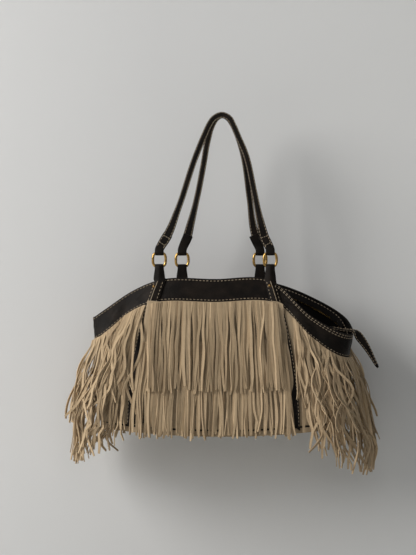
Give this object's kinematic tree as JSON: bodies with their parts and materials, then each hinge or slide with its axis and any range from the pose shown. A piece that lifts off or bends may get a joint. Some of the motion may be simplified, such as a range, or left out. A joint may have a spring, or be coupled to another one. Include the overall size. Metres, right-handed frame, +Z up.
{
  "type": "fringed suede shoulder bag",
  "caption": "Soft suede shoulder bag with layered strand fringe, dark leather bands and straps, brass rings and a pair of leather handles, hanging by its handles.",
  "frame": {"origin": "the hanging point, under the tops of the two handles where they rest side by side on whatever the bag hangs from", "axes": "+X to the right as the front is seen, +Y from the front to the back, +Z up"},
  "size_m": [0.4824, 0.1526, 0.5788],
  "materials": {
    "suede": "matte",
    "leather": "satin",
    "lining": "matte",
    "brass": "polished",
    "zip_tape": "matte",
    "thread": "matte"
  },
  "bodies": {
    "bag": {"front_band": "leather", "right_band": "leather", "back_band": "leather", "left_band": "leather", "front_panel": "suede", "right_panel": "suede", "back_panel": "suede", "left_panel": "suede", "lining": "lining", "base_panel": "suede", "base_piping": "leather", "front_left_strap": "leather", "front_right_strap": "leather", "back_left_strap": "leather", "back_right_strap": "leather", "front_left_rivet": "brass", "front_right_rivet": "brass", "back_left_rivet": "brass", "back_right_rivet": "brass", "front_upper_fringe": "suede", "front_lower_fringe": "suede", "right_upper_fringe": "suede", "right_lower_fringe": "suede", "back_upper_fringe": "suede", "back_lower_fringe": "suede", "left_upper_fringe": "suede", "left_lower_fringe": "suede", "zip_tape_front": "zip_tape", "zip_tape_back": "zip_tape", "zip_tail": "leather"},
    "front_rings": {"front_left_ring": "brass", "front_right_ring": "brass"},
    "back_rings": {"back_left_ring": "brass", "back_right_ring": "brass"},
    "front_handle": {"front_handle": "leather"},
    "back_handle": {"back_handle": "leather"},
    "zip_slider": {"zip_slider": "brass"},
    "zip_puller": {"zip_puller": "brass"}
  },
  "joints": [
    {"name": "front_rings_swing", "type": "hinge", "parent": "bag", "child": "front_rings", "pos_m": [-0.012, -0.0268, -0.2298], "axis": [1, 0, 0], "range_deg": [0, 60]},
    {"name": "back_rings_swing", "type": "hinge", "parent": "bag", "child": "back_rings", "pos_m": [-0.002, 0.0268, -0.2298], "axis": [-1, 0, 0], "range_deg": [0, 60]},
    {"name": "front_handle_fold", "type": "hinge", "parent": "front_rings", "child": "front_handle", "pos_m": [-0.012, -0.0268, -0.208], "axis": [1, 0, 0], "range_deg": [0, 110]},
    {"name": "back_handle_fold", "type": "hinge", "parent": "back_rings", "child": "back_handle", "pos_m": [-0.002, 0.0268, -0.208], "axis": [-1, 0, 0], "range_deg": [0, 110]},
    {"name": "zip_slider_run", "type": "slide", "parent": "bag", "child": "zip_slider", "axis": [0.8918, 0, 0.4525], "range_m": [0, 0.04]},
    {"name": "zip_puller_swing", "type": "hinge", "parent": "zip_slider", "child": "zip_puller", "pos_m": [-0.164, 0, -0.3012], "axis": [0, 1, 0], "range_deg": [-50, 40]}
  ]
}
